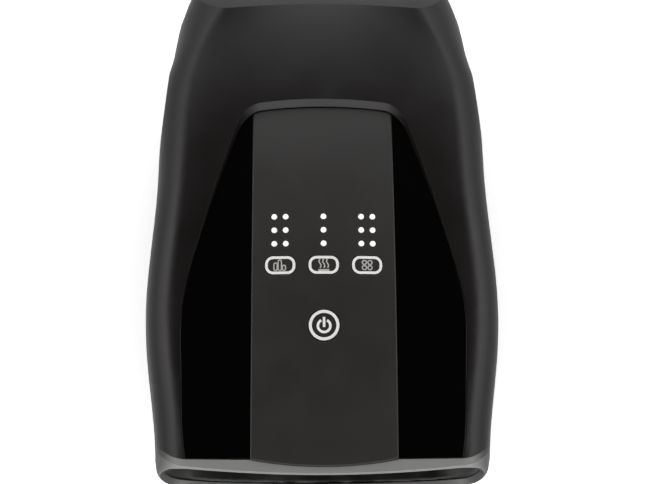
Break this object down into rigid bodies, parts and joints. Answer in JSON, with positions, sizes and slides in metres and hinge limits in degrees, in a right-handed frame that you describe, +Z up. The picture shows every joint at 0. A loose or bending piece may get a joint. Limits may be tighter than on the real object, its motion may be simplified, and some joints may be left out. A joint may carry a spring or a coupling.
{
  "type": "hand massager",
  "caption": "Cordless hand massager: a rounded two-shell housing with an open mouth, a fabric hand pocket with air bags, a gloss control panel with push buttons.",
  "frame": {"origin": "on the ground under the middle of the housing", "axes": "+Z up, -Y towards the mouth, +X to the right of someone who looks into the mouth"},
  "size_m": [0.1566, 0.2383, 0.1],
  "materials": {
    "housing": "satin moulded black ABS, fine grain",
    "trim": "satin mid grey moulded plastic",
    "gloss": "polished black plastic",
    "strip": "matte dark grey plastic with printed symbols",
    "button": "matte dark grey plastic with a pale printed outline",
    "light": "frosted clear plastic",
    "chip": "light chips under resin",
    "board": "green solder mask over laminate",
    "switch": "moulded switch body",
    "plunger": "pale moulded plunger",
    "screw": "zinc-plated steel",
    "foot": "soft black rubber",
    "plate": "dark moulded plate",
    "film": "amber heating film",
    "frame": "dark grey moulded frame",
    "bag": "grey coated air-bag sheet",
    "pad": "black fabric over foam",
    "liner": "black satin fabric over thin foam",
    "holder": "moulded battery holder",
    "cell": "blue shrink sleeve over a steel can",
    "socket": "stamped steel socket on a small board",
    "motor": "zinc-plated steel can",
    "pump": "natural moulded plastic",
    "diaphragm": "brown rubber",
    "crank": "brass crank on a steel shaft",
    "cradle": "soft rubber cradle",
    "valve": "moulded valve with its coil inside",
    "core": "soft iron core",
    "tube": "translucent silicone tube",
    "lead": "insulated lead"
  },
  "bodies": {
    "housing": {"top_cover": "housing", "bottom_cover": "housing", "mouth_trim": "trim", "gloss_panel": "gloss", "control_strip": "strip", "light_guides": "light", "light_chips": "chip", "control_board": "board", "switch_bodies": "switch", "board_screws": "screw", "frame_screws": "screw", "closing_screws": "screw", "front_right_foot": "foot", "front_left_foot": "foot", "rear_right_foot": "foot", "rear_left_foot": "foot", "palm_plate": "plate", "heating_film": "film", "bag_frame": "frame", "hand_liner": "liner", "battery_holder": "holder", "front_cell": "cell", "rear_cell": "cell", "main_board": "board", "charging_socket": "socket", "pump_motor": "motor", "pump_frame": "pump", "pump_diaphragm": "diaphragm", "pump_rocker": "pump", "pump_cap": "pump", "pump_cradle": "cradle", "palm_valve": "valve", "finger_valve": "valve", "air_manifold": "pump", "riser_tubes": "tube", "finger_bag_tube": "tube", "palm_bag_tube": "tube", "control_lead": "lead", "battery_lead": "lead", "pump_lead": "lead"},
    "power_key": {"power_button": "button", "power_switch_plunger": "plunger"},
    "intensity_key": {"intensity_button": "button", "intensity_switch_plunger": "plunger"},
    "heat_key": {"heat_button": "button", "heat_switch_plunger": "plunger"},
    "mode_key": {"mode_button": "button", "mode_switch_plunger": "plunger"},
    "palm_press": {"palm_pad": "pad", "palm_bag": "bag"},
    "finger_press": {"finger_pad": "pad", "finger_bag": "bag"},
    "pump_rotor": {"pump_crank": "crank"},
    "palm_core": {"palm_valve_core": "core"},
    "finger_core": {"finger_valve_core": "core"}
  },
  "joints": [
    {"name": "power_press", "type": "slide", "parent": "housing", "child": "power_key", "axis": [0, 0, -1], "range_m": [0, 0.0005], "stiffness_N_per_m": 400, "springref_m": -0.0015},
    {"name": "intensity_press", "type": "slide", "parent": "housing", "child": "intensity_key", "axis": [0, 0, -1], "range_m": [0, 0.0005], "stiffness_N_per_m": 400, "springref_m": -0.0015},
    {"name": "heat_press", "type": "slide", "parent": "housing", "child": "heat_key", "axis": [0, 0, -1], "range_m": [0, 0.0005], "stiffness_N_per_m": 400, "springref_m": -0.0015},
    {"name": "mode_press", "type": "slide", "parent": "housing", "child": "mode_key", "axis": [0, 0, -1], "range_m": [0, 0.0005], "stiffness_N_per_m": 400, "springref_m": -0.0015},
    {"name": "palm_squeeze", "type": "slide", "parent": "housing", "child": "palm_press", "axis": [0, 0, -1], "range_m": [0, 0.014], "stiffness_N_per_m": 150, "springref_m": -0.004, "deforming": ["palm_bag"]},
    {"name": "finger_squeeze", "type": "slide", "parent": "housing", "child": "finger_press", "axis": [0, 0, -1], "range_m": [0, 0.014], "stiffness_N_per_m": 150, "springref_m": -0.004, "deforming": ["finger_bag"]},
    {"name": "pump_spin", "type": "hinge", "parent": "housing", "child": "pump_rotor", "pos_m": [-0.012, 0.0858, 0.0208], "axis": [1, 0, 0], "continuous": true},
    {"name": "palm_release", "type": "slide", "parent": "housing", "child": "palm_core", "axis": [0, 0, 1], "range_m": [0, 0.001], "stiffness_N_per_m": 60, "springref_m": -0.002},
    {"name": "finger_release", "type": "slide", "parent": "housing", "child": "finger_core", "axis": [0, 0, 1], "range_m": [0, 0.001], "stiffness_N_per_m": 60, "springref_m": -0.002}
  ]
}
